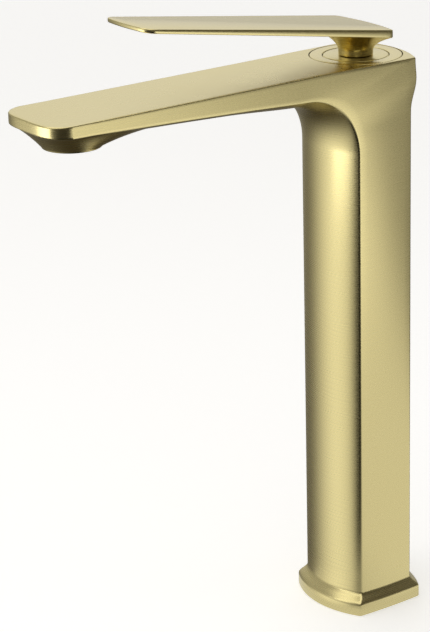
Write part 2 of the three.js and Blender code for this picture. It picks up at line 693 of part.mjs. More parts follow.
function cartridgeCasing() {
  const lipInner = casingInner - CASING_LIP;
  return turned([
    [casingInner, baseBottomZ + BASE_FLANGE + GAP],
    [CARTRIDGE_RADIUS, baseBottomZ + BASE_FLANGE + GAP],
    [CARTRIDGE_RADIUS, shoulderZ],
    [neckOuter, shoulderZ],
    [neckOuter, neckTopZ],
    [neckRadius + GAP, neckTopZ],
    [neckRadius + GAP, neckTopZ - 1],
    [lipInner, neckTopZ - 1],
    [lipInner, flangeBottomZ - 0.2],
    [casingInner, flangeBottomZ - 0.2],
  ]);
}

// The rotor turns in the casing, carries the pivot pin and guides the disc carrier between two rails.
function rotor() {
  const flange = casingInner - CASING_LIP - GAP;
  const head = turned([
    [0, flangeBottomZ],
    [flange, flangeBottomZ],
    [flange, neckTopZ - 1 - GAP],
    [neckRadius, neckTopZ - 1 - GAP],
    [neckRadius, rotorTopZ],
    [0, rotorTopZ],
  ]);
  const railTop = flangeBottomZ - RAIL.slack;
  const sleeve = solid(ring(0, discRadius, slidingTopZ + RAIL.slack, railTop));
  const rails = cut(
    join(sleeve, ring(0, flange, railTop - RAIL.slack, flangeBottomZ + 1)),
    block(-RAIL.half, RAIL.half, -20, 20, 0, flangeBottomZ),
  );
  const slotFront = -(neckRadius - ROTOR_END_WALLS.front);
  const slotBack = neckRadius - ROTOR_END_WALLS.back;
  return cut(
    solid(head).add(rails),
    block(-socketHalf, socketHalf, slotFront, slotBack, flangeBottomZ - 1, rotorTopZ + 1),
    crossBar(PIN_RADIUS + PIN_SLACK, 30, pivotZ),
  );
}

function pivotPin() {
  return crossBar(PIN_RADIUS, 2 * (neckRadius - PIN_INSET), pivotZ);
}

function spindle() {
  const half = SPINDLE_SIDE / 2;
  const footZ = pivotZ - SPINDLE_FOOT;
  const shank = solid(block(-half, half, -half, half, footZ, spindleTopZ));
  const arm = disc(ARM_RADIUS, 0, 0, pivotZ - ARM, footZ + 0.5);
  const ball = new THREE.SphereGeometry(BALL_END, 20, 12).rotateX(Math.PI / 2).translate(0, 0, pivotZ - ARM);
  return cut(join(shank, arm, ball), crossBar(PIN_RADIUS + PIN_SLACK, 30, pivotZ));
}

function clampNut() {
  const hexTop = nutBottomZ + NUT_HEIGHT;
  const threadTop = nutBottomZ + NUT_THREAD_HEIGHT;
  const hexRadius = (2 * (nutRadius - 2)) / Math.sqrt(3);
  const thread = solid(ring(0, nutRadius, nutBottomZ, threadTop));
  const hex = disc(hexRadius, 0, 0, threadTop, hexTop, 6);
  return cut(join(thread, hex), ring(0, neckOuter + GAP, nutBottomZ - 1, hexTop + 1));
}

function temperatureLimitRing() {
  const bottom = neckTopZ + GAP;
  return ring(neckRadius + GAP, neckOuter - LIMIT_RING.slack, bottom, bottom + LIMIT_RING.height);
}

// ---- Lever --------------------------------------------------------------------------------------
const leverTopAt = (y) => TOP + LEVER_RISE - Math.tan(LEVER_TILT) * y;
const leverUnderAt = (y) => {
  const share = (LEVER_BACK - y) / (LEVER_BACK + LEVER_LENGTH);
  return leverTopAt(y) - mix(LEVER_THICK, LEVER_TIP_THICK, share);
};

// Plan of the lever: sides that draw in towards the tip, rounded corners, slightly bowed ends.
function leverPlan() {
  const shape = new THREE.Shape();
  const back = LEVER_BACK;
  const tip = -LEVER_LENGTH;
  const wide = LEVER_BACK_HALF;
  const narrow = LEVER_TIP_HALF;
  shape.moveTo(-wide + 2.2, back - 2.6);
  shape.quadraticCurveTo(0, back + 2.6, wide - 2.2, back - 2.6);
  shape.quadraticCurveTo(wide, back - 3.4, wide, back - 6);
  shape.lineTo(narrow + 0.1, tip + 7);
  shape.quadraticCurveTo(narrow - 0.2, tip + 2.4, narrow - 4.5, tip + 1.2);
  shape.quadraticCurveTo(0, tip - 1, -narrow + 4.5, tip + 1.2);
  shape.quadraticCurveTo(-narrow + 0.2, tip + 2.4, -narrow - 0.1, tip + 7);
  shape.lineTo(-wide, back - 6);
  shape.quadraticCurveTo(-wide, back - 3.4, -wide + 2.2, back - 2.6);
  return shape.getPoints(8).map(({ x, y }) => [x, y]);
}

// Side view of the plate as [y, z]: flat top, underside thinning towards the tip.
function leverSide() {
  const back = LEVER_BACK + 10;
  const tip = -LEVER_LENGTH - 10;
  return [
    [back, leverTopAt(back)],
    [tip, leverTopAt(tip)],
    [tip, leverUnderAt(tip)],
    [back, leverUnderAt(back)],
  ];
}

// A round stem with a parabolic flare that meets the tilted plate all round, a little wider sideways.
function leverStem() {
  const foot = TOP + GAP;
  const rise = leverUnderAt(0) + STEM_SINK - foot;
  const profile = [[0, foot], [STEM_RADIUS, foot]];
  for (let i = 0; i <= 12; i++) {
    const share = Math.sin((i / 12) * (Math.PI / 2));
    profile.push([STEM_RADIUS + STEM_FLARE * share ** 2, foot + STEM_COLLAR + (rise - STEM_COLLAR) * share]);
  }
  profile.push([STEM_RADIUS + STEM_FLARE, foot + rise + STEM_SINK], [0, foot + rise + STEM_SINK]);
  const stem = turned(profile);
  const points = stem.getAttribute("position");
  for (let i = 0; i < points.count; i++) {
    const radius = Math.hypot(points.getX(i), points.getY(i));
    const sideways = radius > 0 ? (points.getX(i) / radius) ** 2 : 0;
    const spread = Math.max(0, radius - STEM_RADIUS) * STEM_SPREAD * sideways;
    const stretch = radius > 0 ? (radius + spread) / radius : 1;
    const y = points.getY(i) * stretch;
    const lift = (points.getZ(i) - foot) / rise;
    points.setXYZ(i, points.getX(i) * stretch, y, foot + lift * (leverUnderAt(y) + STEM_SINK - foot));
  }
  return stem;
}

function lever() {
  const side = prism(leverSide(), -40, 40).rotateY(Math.PI / 2).rotateX(Math.PI / 2);
  const outline = solid(prism(leverPlan(), TOP, TOP + 60));
  const whole = solid(side).add(solid(leverStem())).intersect(outline);
  return cut(
    join(whole, ring(0, spigotRadius, TOP - SPIGOT_LENGTH, TOP + 1)),
    block(-socketHalf, socketHalf, -socketHalf, socketHalf, TOP - 20, spindleTopZ + GAP),
    lengthBar(SET_SCREW.r + GAP, 0, STEM_RADIUS + STEM_FLARE, TOP + SET_SCREW.z),
  );
}

const setScrewStart = SPINDLE_SIDE / 2 + SET_SCREW.start;
const plugOuter = STEM_RADIUS - SET_SCREW.start;
const plugInner = plugOuter - PLUG_DEPTH;
const setScrewEnd = plugInner - PLUG_GAP;

function setScrew() {
  const z = TOP + SET_SCREW.z;
  const drive = lengthBar(HEX_SOCKET.r, setScrewEnd - HEX_SOCKET.depth * 0.75, setScrewEnd + 1, z, 6);
  return cut(solid(lengthBar(SET_SCREW.r, setScrewStart, setScrewEnd, z)), drive);
}

function screwCoverPlug() {
  return lengthBar(SET_SCREW.r + 0.1, plugInner, plugOuter, TOP + SET_SCREW.z);
}

// ---- Aerator ------------------------------------------------------------------------------------
function aeratorHousing() {
  const { width, height, chamfer } = AERATOR_LIP;
  const inner = aeratorRadius - AERATOR_WALL;
  const plain = turned([
    [inner - width, aeratorBottomZ],
    [aeratorRadius - chamfer, aeratorBottomZ],
    [aeratorRadius, aeratorBottomZ + chamfer],
    [aeratorRadius, aeratorTopZ],
    [inner, aeratorTopZ],
    [inner, aeratorBottomZ + height],
    [inner - width, aeratorBottomZ + height],
  ]);
  const { half, depth, height: notchHeight, count } = AERATOR_NOTCH;
  const notches = [...Array(count).keys()].map((i) => {
    const notchTop = aeratorBottomZ + notchHeight;
    const notch = block(-half, half, aeratorRadius - depth, aeratorRadius + 1, aeratorBottomZ - 1, notchTop);
    return notch.rotateZ((2 * Math.PI * i) / count);
  });
  return cut(solid(plain), ...notches).translate([0, outletY, 0]);
}

// The jet grid: square cells wherever a whole one fits.
function aeratorInsert() {
  const { pitch, cell, thick } = AERATOR_GRID;
  const top = insertBottomZ + thick;
  const reach = Math.floor(insertRadius / pitch);
  const cells = [];
  for (let i = -reach; i <= reach; i++)
    for (let j = -reach; j <= reach; j++) {
      const x = i * pitch;
      const y = j * pitch;
      if (Math.hypot(x, y) > insertRadius - cell) continue;
      const half = cell / 2;
      cells.push(block(x - half, x + half, y - half, y + half, insertBottomZ - 1, top + 1));
    }
  return cut(solid(ring(0, insertRadius, insertBottomZ, top)), ...cells).translate([0, outletY, 0]);
}

function flowRegulator() {
  const { thick, hole, ring: holeRing, count } = REGULATOR;
  const holes = [...Array(count).keys()].map((i) => {
    const angle = (2 * Math.PI * i) / count;
    const x = holeRing * Math.cos(angle);
    const y = holeRing * Math.sin(angle);
    return disc(hole, x, y, regulatorBottomZ - 1, regulatorBottomZ + thick + 1, 12);
  });
  const plain = solid(ring(0, insertRadius, regulatorBottomZ, regulatorBottomZ + thick));
  return cut(plain, ...holes).translate([0, outletY, 0]);
}

function aeratorSeal() {
  const { width, slack } = AERATOR_SEAL;
  const outer = aeratorRadius - slack;
  return ring(outer - width, outer, aeratorTopZ + slack, aeratorSocketTopZ - slack).translate(0, outletY, 0);
}

// ---- Assembly -----------------------------------------------------------------------------------
const assembly = new THREE.Group();

function add(name, shape, material) {
  const geometry = shape.isBufferGeometry ? shape : geometryOf(shape);
  const mesh = new THREE.Mesh(geometry, materials[material]);
  mesh.name = name;
  assembly.add(mesh);
}

add("body", body(), "gold");
add("mounting_plate", mountingPlate(), "brass");
add("plate_screw_front", plateScrew(-1), "steel");
add("plate_screw_back", plateScrew(1), "steel");
add("base_gasket", baseGasket(), "rubber");
add("cap_ring", capRing(), "gold");
add("cap_ring_o_ring", capRingORing(), "rubber");
add("clamp_nut", clampNut(), "brass");
add("temperature_limit_ring", temperatureLimitRing(), "greyPlastic");
add("cartridge_casing", cartridgeCasing(), "whitePlastic");
add("cartridge_base", cartridgeBase(), "greyPlastic");
ports.forEach((port) => add(port.name, portSeal(port), "rubber"));
add("disc_seal", discSeal(), "rubber");
add("fixed_disc", fixedDisc(), "ceramic");
add("sliding_disc", slidingDisc(), "ceramic");
add("disc_carrier", discCarrier(), "greyPlastic");
add("rotor", rotor(), "greyPlastic");
add("pivot_pin", pivotPin(), "steel");
add("spindle", spindle(), "steel");
add("ball_cap", ballCap(), "gold");
add("ball_cap_retainer", ballCapRetainer(), "brass");
add("lever", lever(), "gold");
add("set_screw", setScrew(), "steel");
add("screw_cover_plug", screwCoverPlug(), "gold");
add("aerator_housing", aeratorHousing(), "gold");
add("aerator_insert", aeratorInsert(), "whitePlastic");
add("flow_regulator", flowRegulator(), "greyPlastic");
add("aerator_seal", aeratorSeal(), "rubber");

export default assembly;
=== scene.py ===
# A tall basin mixer in satin brushed gold: the visible castings, plate and trim are rebuilt here
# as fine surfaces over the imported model, and every part gets the finish of its real material.
# Shapes are worked out in millimetres in the part's own frame and scaled to metres once.
import json
import math

import bmesh
import bpy
import numpy as np
from mathutils import Matrix, Vector


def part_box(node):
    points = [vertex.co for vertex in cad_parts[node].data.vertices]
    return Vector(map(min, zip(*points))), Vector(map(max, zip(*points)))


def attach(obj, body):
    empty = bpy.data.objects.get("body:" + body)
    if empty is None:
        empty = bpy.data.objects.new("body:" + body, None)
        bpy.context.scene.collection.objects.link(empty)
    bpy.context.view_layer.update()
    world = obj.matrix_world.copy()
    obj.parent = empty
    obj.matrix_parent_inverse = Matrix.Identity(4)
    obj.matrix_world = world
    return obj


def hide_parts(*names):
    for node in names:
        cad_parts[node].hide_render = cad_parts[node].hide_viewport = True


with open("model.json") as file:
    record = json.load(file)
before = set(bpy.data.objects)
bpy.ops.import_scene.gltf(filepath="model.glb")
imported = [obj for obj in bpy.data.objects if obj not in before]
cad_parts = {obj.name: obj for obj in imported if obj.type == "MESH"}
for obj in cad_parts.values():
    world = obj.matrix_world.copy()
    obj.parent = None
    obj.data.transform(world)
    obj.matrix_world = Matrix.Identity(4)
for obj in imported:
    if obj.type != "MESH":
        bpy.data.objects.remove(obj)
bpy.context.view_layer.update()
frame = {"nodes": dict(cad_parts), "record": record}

MM = 0.001


def box_mm(node):
    """Lowest and highest corners of a CAD part in millimetres."""
    low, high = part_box(node)
    return np.array(low) / MM, np.array(high) / MM


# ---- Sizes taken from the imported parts, and the shape between them ------------------------------
body_low, body_high = box_mm("body")
TOP = body_high[2]  # the flat top of the head and spout
TIP_Y = body_low[1]  # front of the spout
aerator_low, aerator_high = box_mm("aerator_housing")
OUTLET_Y = (aerator_low[1] + aerator_high[1]) / 2
OUTLET_Z = aerator_low[2] - 0.3
TIP_LENGTH = OUTLET_Y - TIP_Y
cap_low, cap_high = box_mm("cap_ring")
CAP_RADIUS = cap_high[0]
ball_low, _ = box_mm("ball_cap")

COLUMN_HALF, COLUMN_CORNER, COLUMN_BOW, SIDE_BOW = 21.5, 15.1, 6.0, 0.6
COLUMN_WALL = 3.1
FLARE, RIM_HEIGHT, FLARE_HEIGHT = 3.2, 5.3, 5.6
HEAD_CORNER, HEAD_BULGE, HEAD_FLARE_HEIGHT = 16.4, 0.9, 25.0
RECESS_RADIUS = CAP_RADIUS + 0.3
HEAD_HALF = RECESS_RADIUS + 1.4
SPOUT_HALF, TIP_SPREAD, TIP_EDGE, TOP_FALL = 22.1, 0.6, 5.1, 0.95
ROOT_EDGE, FILLET, UNDER_BOW = 11.2, 29.5, 4.9
OUTLET_RADIUS, SOCKET_RADIUS, BOSS_RUN = 13.2, 12.0, 40.0
CAP_OPENING, PIVOT_DEPTH = 15.4, 12.0
PIVOT_Z = TOP - PIVOT_DEPTH
LEVER_RISE, LEVER_TILT = 14.6, math.radians(8.3)
LEVER_BACK, LEVER_LENGTH = 8.8, 126.0
LEVER_BACK_HALF, LEVER_TIP_HALF = 21.0, 17.0
LEVER_THICK, LEVER_TIP_THICK = 3.65, 1.9
STEM_RADIUS, STEM_FLARE, STEM_SPREAD = 8.0, 13.0, 0.1
STEM_COLLAR, STEM_SINK = 1.7, 0.5
SEAT_Z = TOP - 42.3  # where the cartridge stands
SEAT_BLOCK = 19.7
PLATE_RECESS = {"inset": 1.3, "depth": 8.3}
NUT_RECESS = {"radius": 14.3, "depth": 20.0}
CARTRIDGE_BORE = 12.8
AERATOR_SOCKET_DEPTH = 9.4
RING_GROOVE = {"depth": 1.1, "top": 3.9, "bottom": 6.1}  # for the o-ring round the cap ring
SEAM_GAP = 0.12  # taken off the cap ring, so that the line round it shows
BALL_GAP = 0.45  # between the dome and the ring
TRIM_EDGE = 0.3
BALL_BORE = 6.3
BALL_SKIN, BALL_ROOF = 1.8, 2.2
SKIRT_DROP = 0.4
SKIRT_SLANT = math.radians(22) * 0.4  # part of the lever's lift
SPINDLE_SOCKET = {"half": 3.8, "top": 9.8}
SCREW_BORE = {"radius": 2.7, "height": 4.2}


def smooth(t):
    """Eases a fraction from 0 to 1 with level ends."""
    t = min(1.0, max(0.0, t))
    return t * t * (3 - 2 * t)


def mix(a, b, t):
    return a + (b - a) * t


def arc_height(x, half, bow):
    """Height at x of a circular arc over -half to half that rises by bow."""
    if bow < 1e-6:
        return np.zeros_like(np.asarray(x, float))
    radius = (half * half + bow * bow) / (2 * bow)
    inside = np.clip(radius * radius - np.asarray(x, float) ** 2, 0, None)
    return np.sqrt(inside) - (radius - bow)


# ---- Camera -------------------------------------------------------------------------------------
def make_camera():
    """A long lens, a little above the spout and to its right, level but for a slight roll."""
    azimuth, elevation, roll = (math.radians(a) for a in (55.12, 19.51, 1.479))
    back = Vector((
        math.sin(azimuth) * math.cos(elevation),
        -math.cos(azimuth) * math.cos(elevation),
        math.sin(elevation),
    ))
    right = Vector((math.cos(azimuth), math.sin(azimuth), 0))
    up = back.cross(right)
    place = right * -65.8 + Vector((0, 0, 144.6)) + back * 1116.8
    rolled_right = right * math.cos(roll) - up * math.sin(roll)
    rolled_up = right * math.sin(roll) + up * math.cos(roll)
    data = bpy.data.cameras.new("camera")
    data.lens = 134.1
    data.sensor_width = 36
    data.sensor_fit = "AUTO"
    data.shift_x = -0.0052
    data.shift_y = 0.0008
    data.clip_end = 50
    camera = bpy.data.objects.new("camera", data)
    turn = Matrix((rolled_right, rolled_up, back)).transposed().to_4x4()
    camera.matrix_world = Matrix.Translation(place * MM) @ turn
    bpy.context.collection.objects.link(camera)
    bpy.context.scene.camera = camera


make_camera()


# ---- Finishes -----------------------------------------------------------------------------------
def linear(hex_colour):
    """sRGB hex to linear RGBA."""
    parts = [int(hex_colour[i:i + 2], 16) / 255 for i in (0, 2, 4)]
    return [c / 12.92 if c <= 0.04045 else ((c + 0.055) / 1.055) ** 2.4 for c in parts] + [1.0]


def add_node(tree, kind, links=None, **settings):
    """Adds a shader node, sets its properties and inputs, and links inputs to other nodes' outputs."""
    node = tree.nodes.new(kind)
    for key, value in settings.items():
        if hasattr(node, key):
            setattr(node, key, value)
        else:
            node.inputs[key.replace("_", " ")].default_value = value
    for key, source in (links or {}).items():
        tree.links.new(source, node.inputs[key])
    return node


def new_material(name):
    material = bpy.data.materials.new(name)
    material.use_nodes = True
    tree = material.node_tree
    tree.nodes.clear()
    output = tree.nodes.new("ShaderNodeOutputMaterial")
    shader = tree.nodes.new("ShaderNodeBsdfPrincipled")
    tree.links.new(shader.outputs[0], output.inputs["Surface"])
    return material, tree, shader


def brushed_gold(name, along, line_mm=0.35, roughness=0.27):
    """Satin gold plating over brushed brass: fine parallel scratches along one direction, with slow
    patches of slightly deeper and paler gold where the belt pressed harder. Real scratches are too
    fine to show, so they are drawn line_mm apart."""
    material, tree, shader = new_material(name)
    place = add_node(tree, "ShaderNodeTexCoord").outputs["Object"]
    # Noise cells are drawn out 60 times along the brushing, so they read as scratches.
    stretch = [1 / 60 if i in along else 1.0 for i in range(3)]
    lines = add_node(tree, "ShaderNodeMapping", {"Vector": place}, Scale=stretch)
    scratches = add_node(
        tree, "ShaderNodeTexNoise", {"Vector": lines.outputs[0]},
        Scale=1 / (line_mm * MM), Detail=3.0, Roughness=0.6,
    )
    patches = add_node(tree, "ShaderNodeTexNoise", {"Vector": place}, Scale=18.0, Detail=2.0)
    tone = add_node(tree, "ShaderNodeMix", {0: scratches.outputs["Fac"]}, data_type="RGBA")
    tone.inputs[6].default_value = linear("dcce91")
    tone.inputs[7].default_value = linear("ecdea5")
    shade = add_node(
        tree, "ShaderNodeMix", {0: patches.outputs["Fac"], 6: tone.outputs[2]},
        data_type="RGBA",
    )
    shade.inputs[7].default_value = linear("e2d396")
    tree.links.new(shade.outputs[2], shader.inputs["Base Color"])
    rough = add_node(tree, "ShaderNodeMapRange", {"Value": scratches.outputs["Fac"]})
    rough.inputs["To Min"].default_value = roughness - 0.05
    rough.inputs["To Max"].default_value = roughness + 0.06
    tree.links.new(rough.outputs[0], shader.inputs["Roughness"])
    bump = add_node(
        tree, "ShaderNodeBump", {"Height": scratches.outputs["Fac"]},
        Strength=0.08, Distance=0.00002,
    )
    tree.links.new(bump.outputs[0], shader.inputs["Normal"])
    shader.inputs["Metallic"].default_value = 1.0
    return material


def fine_grain(name, dark, light, roughness, metallic, grain_mm, bump_mm, spread=0.06):
    """A plain moulded, turned or lapped surface: fine grain in colour, gloss and height."""
    material, tree, shader = new_material(name)
    place = add_node(tree, "ShaderNodeTexCoord").outputs["Object"]
    grain = add_node(
        tree, "ShaderNodeTexNoise", {"Vector": place},
        Scale=1 / (grain_mm * MM), Detail=4.0,
    )
    tone = add_node(tree, "ShaderNodeMix", {0: grain.outputs["Fac"]}, data_type="RGBA")
    tone.inputs[6].default_value = linear(dark)
    tone.inputs[7].default_value = linear(light)
    tree.links.new(tone.outputs[2], shader.inputs["Base Color"])
    rough = add_node(tree, "ShaderNodeMapRange", {"Value": grain.outputs["Fac"]})
    rough.inputs["To Min"].default_value = roughness - spread
    rough.inputs["To Max"].default_value = roughness + spread
    tree.links.new(rough.outputs[0], shader.inputs["Roughness"])
    bump = add_node(
        tree, "ShaderNodeBump", {"Height": grain.outputs["Fac"]},
        Strength=0.3, Distance=bump_mm * MM,
    )
    tree.links.new(bump.outputs[0], shader.inputs["Normal"])
    shader.inputs["Metallic"].default_value = metallic
    return material


X, Y = 0, 1
gold_across = brushed_gold("gold_brushed_round_the_column", (X, Y))
gold_spout = brushed_gold("gold_brushed_along_the_spout", (Y,), roughness=0.24)
gold_trim = brushed_gold("gold_turned_trim", (X, Y), line_mm=0.3, roughness=0.25)
plain_brass = fine_grain("turned_plain_brass", "a8863c", "c6a457", 0.35, 1.0, 0.4, 0.01)
stainless = fine_grain("plain_stainless_steel", "a9abad", "c8cacb", 0.32, 1.0, 0.3, 0.01)
white_plastic = fine_grain("moulded_white_acetal", "dfe0da", "f0f0ec", 0.45, 0.0, 0.3, 0.01)
grey_plastic = fine_grain("moulded_grey_acetal", "7d8287", "969ba0", 0.5, 0.0, 0.3, 0.01)
ceramic = fine_grain("lapped_alumina", "ece9e0", "f8f6f0", 0.2, 0.0, 0.15, 0.002, 0.04)
rubber = fine_grain("moulded_nitrile_rubber", "141414", "242424", 0.75, 0.0, 0.25, 0.01)


# ---- Mesh tools ---------------------------------------------------------------------------------
def new_object(name, vertices, faces, material, angle=32):
    """A piece from points in millimetres, smooth shaded but for edges over the angle."""
    mesh = bpy.data.meshes.new(name)
    mesh.from_pydata([tuple(np.asarray(v, float) * MM) for v in vertices], [], faces)
    mesh.validate()
    piece = bpy.data.objects.new(name, mesh)
    bpy.context.collection.objects.link(piece)
    mesh.materials.append(material)
    shade(piece, angle)
    return piece


def shade(piece, angle=32):
    mesh = piece.data
    mesh.polygons.foreach_set("use_smooth", [True] * len(mesh.polygons))
    mesh.set_sharp_from_angle(angle=math.radians(angle))


def lathe(name, profile, material, sides=128, centre=(0, 0), angle=32):
    """Turns a closed [radius, z] profile about a vertical axis."""
    count = len(profile)
    points, faces = [], []
    for i in range(sides):
        turn = 2 * math.pi * i / sides
        for r, z in profile:
            points.append((centre[0] + r * math.cos(turn), centre[1] + r * math.sin(turn), z))
    for i in range(sides):
        j = (i + 1) % sides
        for k in range(count):
            m = (k + 1) % count
            faces.append((i * count + k, j * count + k, j * count + m, i * count + m))
    piece = new_object(name, points, faces, material, angle)
    tidy_mesh(piece)
    shade(piece, angle)
    return piece


def tidy_mesh(piece):
    """Merges doubled points and turns every face outwards."""
    bm = bmesh.new()
    bm.from_mesh(piece.data)
    bmesh.ops.remove_doubles(bm, verts=bm.verts, dist=1e-6)
    bmesh.ops.dissolve_degenerate(bm, edges=bm.edges, dist=1e-7)
    bmesh.ops.recalc_face_normals(bm, faces=bm.faces)
    bm.to_mesh(piece.data)
    bm.free()


def skin(rows, count, flip=False):
    """Four-sided faces between neighbouring rings of count points each."""
    faces = []
    for i in range(rows - 1):
        for j in range(count):
            k = (j + 1) % count
            low, low_next = i * count + j, i * count + k
            high, high_next = (i + 1) * count + j, (i + 1) * count + k
            if flip:
                faces.append((low, high, high_next, low_next))
            else:
                faces.append((low, low_next, high_next, high))
    return faces


def prism(name, outline, z0, z1):
    """A straight-sided cutter from an outline of [x, y] points."""
    count = len(outline)
    points = [(x, y, z) for z in (z0, z1) for x, y in outline]
    faces = [tuple(range(count))[::-1], tuple(range(count, 2 * count))]
    faces += [(i, (i + 1) % count, (i + 1) % count + count, i + count) for i in range(count)]
    piece = new_object(name, points, faces, rubber)
    tidy_mesh(piece)
    return piece


def round_prism(name, radius, x, y, z0, z1, sides=96):
    turns = [2 * math.pi * i / sides for i in range(sides)]
    return prism(name, [(x + radius * math.cos(t), y + radius * math.sin(t)) for t in turns], z0, z1)


def cut(piece, *cutters):
    """Takes the cutters away from the piece and removes them."""
    for cutter in cutters:
        modifier = piece.modifiers.new("cut", "BOOLEAN")
        modifier.operation = "DIFFERENCE"
        modifier.solver = "EXACT"
        modifier.object = cutter
        apply_modifiers(piece)
        bpy.data.objects.remove(cutter)


def apply_modifiers(piece):
    graph = bpy.context.evaluated_depsgraph_get()
    graph.update()
    mesh = bpy.data.meshes.new_from_object(piece.evaluated_get(graph))
    piece.modifiers.clear()
    piece.data = mesh


def resample(curve, start, end, count):
    """Points evenly spaced along a polyline between two distances in from its ends."""
    steps = np.linalg.norm(np.diff(curve, axis=0), axis=1)
    length = np.concatenate([[0], np.cumsum(steps)])
    start, end = min(start, length[-1] * 0.3), min(end, length[-1] * 0.3)
    at = np.linspace(start, length[-1] - end, count)
    return np.stack([np.interp(at, length, curve[:, k]) for k in range(3)], axis=1)


def rounded_loop(curves, radii, counts, turn):
    """Joins four curves into one loop whose corners are rounded off by the radii."""
    parts = []
    for i, curve in enumerate(curves):
        parts.append(resample(curve, radii[i], radii[(i + 1) % 4], counts[i]))
    loop = []
    for i, part in enumerate(parts):
        loop.extend(part)
        corner, after = curves[i][-1], parts[(i + 1) % 4][0]
        for k in range(1, turn + 1):
            t = k / (turn + 1)
            loop.append((1 - t) ** 2 * part[-1] + 2 * t * (1 - t) * corner + t * t * after)
    return loop


# ---- Body: column, head and spout ---------------------------------------------------------------
ACROSS = np.linspace(-1, 1, 41)
FILLET_Y, FILLET_Z = -COLUMN_CORNER - FILLET, TOP - ROOT_EDGE - FILLET


def column_section(inset, steps=40):
    """Outline of the column at an inward offset, as the plate, hollow and gasket groove use it."""
    half, corner = COLUMN_HALF - inset, COLUMN_CORNER - inset
    xs = np.linspace(-half, half, steps)
    front = [(x, -(corner + float(arc_height(x, half, COLUMN_BOW)))) for x in xs]
    return front + [(-x, -y) for x, y in front]


def bowed(y, z, half, bow, normal):
    """A curve across the body at one station, bulging along its normal."""
    x = ACROSS * half
    lift = arc_height(x, half, bow)
    return np.stack([x, y + normal[0] * lift, z + normal[1] * lift], axis=1)


def side_line(low, high, bulge, sign):
    t = np.linspace(0, 1, 21)[:, None]
    line = low * (1 - t) + high * t
    line[:, 0] += sign * bulge * 4 * t[:, 0] * (1 - t[:, 0])
    return line


LOW_POINTS, SIDE_POINTS, TURN_POINTS = 25, 9, 4  # of each curve and corner of a station's loop


def station_loop(low, high, bulge, low_round, high_round):
    """Underside or front curve, right side, back or top curve, left side, rounded at the corners."""
    right = side_line(low[-1], high[-1], bulge, 1)
    left = side_line(high[0], low[0], bulge, -1)
    curves = [low, right, high[::-1], left]
    radii = [low_round, low_round, high_round, high_round]
    return rounded_loop(curves, radii, [LOW_POINTS, SIDE_POINTS] * 2, TURN_POINTS)


def top_at(y):
    return TOP - TOP_FALL * max(0.0, (-y - RECESS_RADIUS) / (-TIP_Y - RECESS_RADIUS))


def lower_edge(y):
    t = (y - FILLET_Y) / (TIP_Y - FILLET_Y)
    return mix(TOP - ROOT_EDGE, top_at(TIP_Y) - TIP_EDGE, t) + 1.8 * t * (1 - t)


def under_bow(y):
    full = mix(COLUMN_BOW, UNDER_BOW, smooth((FILLET_Y - y) / 40))
    return full * smooth((-OUTLET_Y + 5 + y) / 18)


def flare_at(z):
    return FLARE * (1 - smooth((z - RIM_HEIGHT) / FLARE_HEIGHT)) if z > RIM_HEIGHT else FLARE


def column_loop(z, inset=0.0):
    out = flare_at(z) - inset
    half, corner = COLUMN_HALF + out, COLUMN_CORNER + out
    bow = COLUMN_BOW + out * 0.4
    low = bowed(-corner, z, half, bow, (-1, 0))
    high = bowed(corner, z, half, bow, (1, 0))
    return station_loop(low, high, SIDE_BOW, 0.9, 0.9)


def upper_path():
    """(y, z, half width, bow) up the flaring back of the head, over its rounded edge, along the top."""
    path = []
    edge = 0.6
    for t in np.linspace(0, 1, 24):
        z = mix(FILLET_Z, TOP - edge, t)
        level = (z - (TOP - HEAD_FLARE_HEIGHT)) / HEAD_FLARE_HEIGHT
        grow = smooth(level / 0.7)
        y = mix(COLUMN_CORNER, HEAD_CORNER, grow) + HEAD_BULGE * math.sin(math.pi * smooth(level))
        path.append((y, z, mix(COLUMN_HALF, HEAD_HALF, grow), COLUMN_BOW))
    for turn in (22.5, 45.0, 67.5, 90.0):
        a = math.radians(turn)
        y = HEAD_CORNER - edge * (1 - math.cos(a))
        path.append((y, TOP - edge * (1 - math.sin(a)), HEAD_HALF, COLUMN_BOW))
    for t in np.linspace(0, 1, 16)[1:]:
        y = mix(HEAD_CORNER - edge, FILLET_Y, t)
        path.append((y, top_at(y), mix(HEAD_HALF, SPOUT_HALF, smooth(t)), COLUMN_BOW * (1 - t)))
    return path


def head_loops():
    """The fan of stations that turns the column's front into the spout's underside."""
    path = upper_path()
    loops = []
    for k, (y, z, half, bow) in enumerate(path):
        t = k / (len(path) - 1)
        a = t * math.pi / 2
        low_y = FILLET_Y + FILLET * math.cos(a)
        low_z = FILLET_Z + FILLET * math.sin(a)
        low_half = mix(COLUMN_HALF, SPOUT_HALF, smooth(t))
        low = bowed(low_y, low_z, low_half, COLUMN_BOW, (-math.cos(a), -math.sin(a)))
        high = bowed(y, z, half, bow, (1, 0))
        loops.append(station_loop(low, high, SIDE_BOW * (1 - smooth(t)), 0.9, mix(0.9, 0.5, t)))
    return loops[1:]


def spout_curves(reach_y, drop=0.0):
    """Lower and upper curves of a spout station whose points lie at the y values given."""
    x = ACROSS * SPOUT_HALF
    low = np.array([
        (xi, yi, lower_edge(yi) - float(arc_height(xi, SPOUT_HALF, under_bow(yi))) + drop)
        for xi, yi in zip(x, reach_y)
    ])
    high = np.array([(xi, yi, top_at(yi) - drop) for xi, yi in zip(x, reach_y)])
    return low, high


def tip_front():
    """How far in front of the outlet axis the tip reaches across its width."""
    x = np.abs(ACROSS * SPOUT_HALF) / (SPOUT_HALF + TIP_SPREAD)
    return TIP_LENGTH * (1 - x ** 4) ** 0.25


